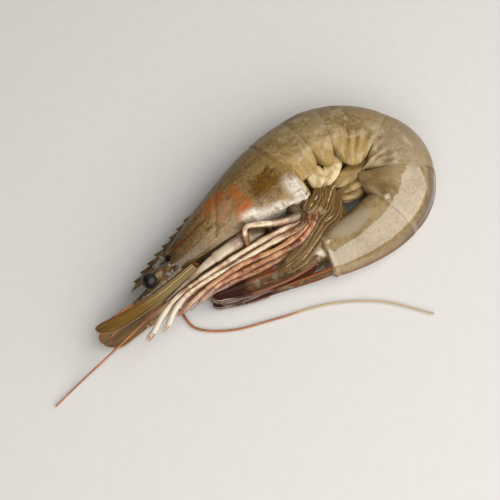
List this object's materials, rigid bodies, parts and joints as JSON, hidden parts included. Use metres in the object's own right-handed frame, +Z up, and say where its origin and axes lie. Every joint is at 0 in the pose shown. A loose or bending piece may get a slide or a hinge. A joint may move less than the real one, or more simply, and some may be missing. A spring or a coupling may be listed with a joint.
{
  "type": "raw whiteleg shrimp",
  "caption": "Whole raw whiteleg shrimp with its head and shell on, curled, lying on its right side with the tail tucked under the legs.",
  "frame": {"origin": "centre of the whole part's box, on the surface that it lies on", "axes": "+X to the right across the curled body, from the head end towards the bend of the back; +Y towards the top of the curl; +Z up, which is the animal's left side"},
  "size_m": [0.088, 0.0722, 0.0159],
  "materials": {
    "head_shell": "wet shell, olive tan with an orange blotch and blue-black at the front",
    "body_shell": "wet translucent shell over pale flesh, grey-olive to tan, finely speckled",
    "tail_blade": "wet ribbed blades, olive brown to dark red",
    "eye": "glossy black",
    "walking_leg": "wet, cream with orange-red edges",
    "swimmeret": "wet, translucent cream with brown edges",
    "feeler": "red-brown, finely ringed",
    "antennal_scale": "wet, yellow-brown with a red edge"
  },
  "bodies": {
    "root": {"abdomen_ring_1": "body_shell", "abdomen_ring_2": "body_shell", "abdomen_ring_3": "body_shell", "abdomen_ring_4": "body_shell", "abdomen_ring_5": "body_shell", "abdomen_ring_6": "body_shell", "antenna_left": "feeler", "antenna_right": "feeler", "antennal_scale_left": "antennal_scale", "antennal_scale_right": "antennal_scale", "antennule_stem_left": "head_shell", "antennule_stem_right": "head_shell", "antennule_whip_lower_left": "feeler", "antennule_whip_lower_right": "feeler", "antennule_whip_upper_left": "feeler", "antennule_whip_upper_right": "feeler", "carapace": "head_shell", "eye_left": "eye", "eye_right": "eye", "eyestalk_left": "head_shell", "eyestalk_right": "head_shell", "mouth_leg_left": "walking_leg", "mouth_leg_right": "walking_leg", "swimmeret_1_left": "swimmeret", "swimmeret_1_right": "swimmeret", "swimmeret_2_left": "swimmeret", "swimmeret_2_right": "swimmeret", "swimmeret_3_left": "swimmeret", "swimmeret_3_right": "swimmeret", "swimmeret_4_left": "swimmeret", "swimmeret_4_right": "swimmeret", "swimmeret_5_left": "swimmeret", "swimmeret_5_right": "swimmeret", "telson": "tail_blade", "uropod_inner_left": "tail_blade", "uropod_inner_right": "tail_blade", "uropod_joint_left": "body_shell", "uropod_joint_right": "body_shell", "uropod_outer_left": "tail_blade", "uropod_outer_right": "tail_blade", "walking_leg_1_left": "walking_leg", "walking_leg_1_right": "walking_leg", "walking_leg_2_left": "walking_leg", "walking_leg_2_right": "walking_leg", "walking_leg_3_left": "walking_leg", "walking_leg_3_right": "walking_leg", "walking_leg_4_left": "walking_leg", "walking_leg_4_right": "walking_leg", "walking_leg_5_left": "walking_leg", "walking_leg_5_right": "walking_leg"}
  },
  "joints": []
}
